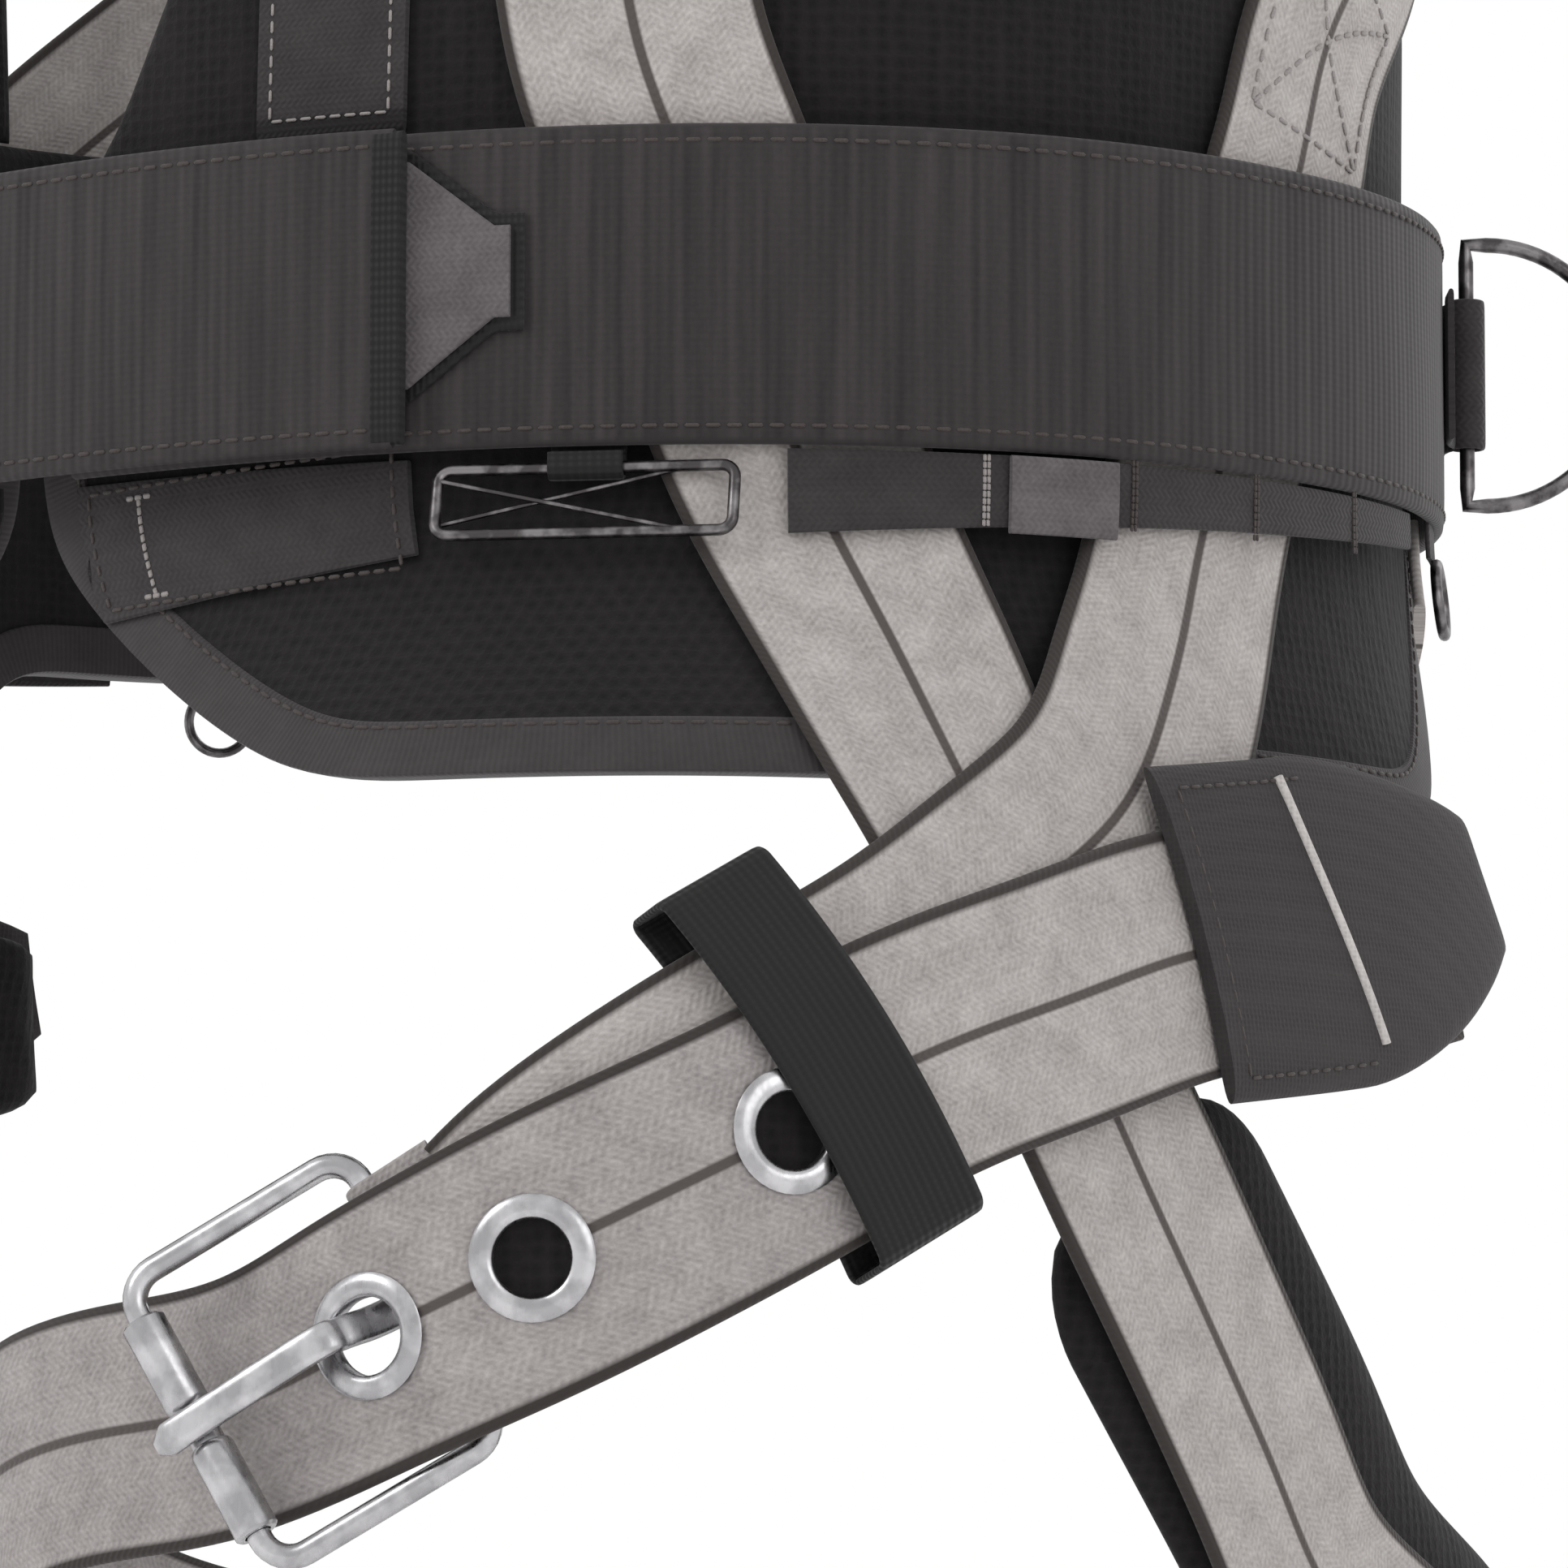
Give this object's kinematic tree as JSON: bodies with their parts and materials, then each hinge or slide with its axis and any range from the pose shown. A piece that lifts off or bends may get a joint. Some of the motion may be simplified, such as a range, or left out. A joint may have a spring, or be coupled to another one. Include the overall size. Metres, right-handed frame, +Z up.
{
  "type": "safety harness vest",
  "caption": "Full-body fall-arrest harness with a padded waist belt, vest panels, sewn webbing straps, buckled leg loops and hinged attachment rings.",
  "frame": {"origin": "middle of the waist ring, at half the belt's height, where the wearer's waist holds the harness", "axes": "+Z up the wearer's body, -Y the way the wearer faces, +X to the wearer's left"},
  "size_m": [0.4382, 0.3694, 0.7385],
  "materials": {
    "light_webbing": "woven polyester, matt",
    "belt_webbing": "woven polyester, matt",
    "pad_fabric": "spacer mesh, matt",
    "cover_fabric": "coated nylon, matt",
    "elastic_webbing": "woven elastic, matt",
    "plated_steel": "zinc plated, satin",
    "moulded_plastic": "fine grain, matt"
  },
  "bodies": {
    "harness": {"waist_pad": "pad_fabric", "dorsal_pad": "pad_fabric", "belt_webbing": "belt_webbing", "belt_outer": "belt_webbing", "belt_buckle_frame": "plated_steel", "belt_buckle_anchor": "belt_webbing", "dorsal_plate": "moulded_plastic", "dorsal_ring_strap": "light_webbing", "chest_strap_left": "light_webbing", "chest_strap_right": "light_webbing", "chest_buckle_receiver": "moulded_plastic", "chest_buckle_insert": "plated_steel", "vest_panel_left": "pad_fabric", "front_strap_left": "light_webbing", "rear_strap_left": "light_webbing", "shoulder_strap_left": "light_webbing", "thigh_strap_left": "light_webbing", "grommet_strap_left": "light_webbing", "shoulder_pad_left": "pad_fabric", "leg_pad_left": "pad_fabric", "leg_pad_cover_left": "cover_fabric", "lower_leg_pad_left": "pad_fabric", "leg_keeper_left": "elastic_webbing", "leg_buckle_frame_left": "plated_steel", "leg_buckle_anchor_left": "light_webbing", "side_ring_sleeve_left": "belt_webbing", "tool_ring_tab_left": "elastic_webbing", "torso_adjuster_left": "plated_steel", "vest_panel_right": "pad_fabric", "front_strap_right": "light_webbing", "rear_strap_right": "light_webbing", "shoulder_strap_right": "light_webbing", "thigh_strap_right": "light_webbing", "grommet_strap_right": "light_webbing", "shoulder_pad_right": "pad_fabric", "leg_pad_right": "pad_fabric", "leg_pad_cover_right": "cover_fabric", "lower_leg_pad_right": "pad_fabric", "leg_keeper_right": "elastic_webbing", "leg_buckle_frame_right": "plated_steel", "leg_buckle_anchor_right": "light_webbing", "side_ring_sleeve_right": "belt_webbing", "tool_ring_tab_right": "elastic_webbing", "torso_adjuster_right": "plated_steel"},
    "side_d_ring_left": {"side_d_ring_left": "plated_steel"},
    "tool_ring_left": {"tool_ring_left": "plated_steel"},
    "leg_buckle_roller_left": {"leg_buckle_roller_left": "plated_steel"},
    "leg_buckle_tongue_left": {"leg_buckle_tongue_left": "plated_steel"},
    "adjuster_bar_left": {"adjuster_bar_left": "plated_steel"},
    "side_d_ring_right": {"side_d_ring_right": "plated_steel"},
    "tool_ring_right": {"tool_ring_right": "plated_steel"},
    "leg_buckle_roller_right": {"leg_buckle_roller_right": "plated_steel"},
    "leg_buckle_tongue_right": {"leg_buckle_tongue_right": "plated_steel"},
    "adjuster_bar_right": {"adjuster_bar_right": "plated_steel"},
    "dorsal_d_ring": {"dorsal_d_ring": "plated_steel"},
    "belt_buckle_roller": {"belt_buckle_roller": "plated_steel"},
    "belt_buckle_tongue": {"belt_buckle_tongue": "plated_steel"},
    "chest_buckle_button": {"chest_buckle_button": "plated_steel"}
  },
  "joints": [
    {"name": "side_ring_swing_left", "type": "hinge", "parent": "harness", "child": "side_d_ring_left", "pos_m": [0.16339, 0.09625, 0.003], "axis": [0, 0, 1], "range_deg": [-75, 75]},
    {"name": "tool_ring_swing_left", "type": "hinge", "parent": "harness", "child": "tool_ring_left", "pos_m": [0.12529, -0.11797, -0.0338], "axis": [-0.8449, -0.5349, 0], "range_deg": [0, 60]},
    {"name": "leg_roller_spin_left", "type": "hinge", "parent": "harness", "child": "leg_buckle_roller_left", "pos_m": [0.11799, -0.20633, -0.20845], "axis": [0.5037, 0.1645, -0.8481], "continuous": true},
    {"name": "leg_tongue_swing_left", "type": "hinge", "parent": "harness", "child": "leg_buckle_tongue_left", "pos_m": [0.1491, -0.18329, -0.1855], "axis": [-0.5037, -0.1645, 0.8481], "range_deg": [0, 15]},
    {"name": "adjuster_bar_slide_left", "type": "slide", "parent": "harness", "child": "adjuster_bar_left", "axis": [0, 0, 1], "range_m": [-0.004, 0.004]},
    {"name": "side_ring_swing_right", "type": "hinge", "parent": "harness", "child": "side_d_ring_right", "pos_m": [-0.16339, 0.09625, 0.003], "axis": [0, 0, 1], "range_deg": [-75, 75]},
    {"name": "tool_ring_swing_right", "type": "hinge", "parent": "harness", "child": "tool_ring_right", "pos_m": [-0.12529, -0.11797, -0.0338], "axis": [-0.8449, 0.5349, 0], "range_deg": [0, 60]},
    {"name": "leg_roller_spin_right", "type": "hinge", "parent": "harness", "child": "leg_buckle_roller_right", "pos_m": [-0.11799, -0.20633, -0.20845], "axis": [0.5037, -0.1645, 0.8481], "continuous": true},
    {"name": "leg_tongue_swing_right", "type": "hinge", "parent": "harness", "child": "leg_buckle_tongue_right", "pos_m": [-0.1491, -0.18329, -0.1855], "axis": [-0.5037, 0.1645, -0.8481], "range_deg": [0, 15]},
    {"name": "adjuster_bar_slide_right", "type": "slide", "parent": "harness", "child": "adjuster_bar_right", "axis": [0, 0, 1], "range_m": [-0.004, 0.004]},
    {"name": "dorsal_ring_swing", "type": "hinge", "parent": "harness", "child": "dorsal_d_ring", "pos_m": [0, 0.15115, 0.28], "axis": [1, 0, 0], "range_deg": [0, 150]},
    {"name": "belt_roller_spin", "type": "hinge", "parent": "harness", "child": "belt_buckle_roller", "pos_m": [-0.04453, -0.16353, 0], "axis": [0, 0, 1], "continuous": true},
    {"name": "belt_tongue_swing", "type": "hinge", "parent": "harness", "child": "belt_buckle_tongue", "pos_m": [-0.08211, -0.13877, 0], "axis": [0, 0, -1], "range_deg": [0, 7]},
    {"name": "chest_button_press", "type": "slide", "parent": "harness", "child": "chest_buckle_button", "axis": [0, 0.9998, -0.0187], "range_m": [0, 0.0012], "stiffness_N_per_m": 600, "springref_m": -0.0006}
  ]
}
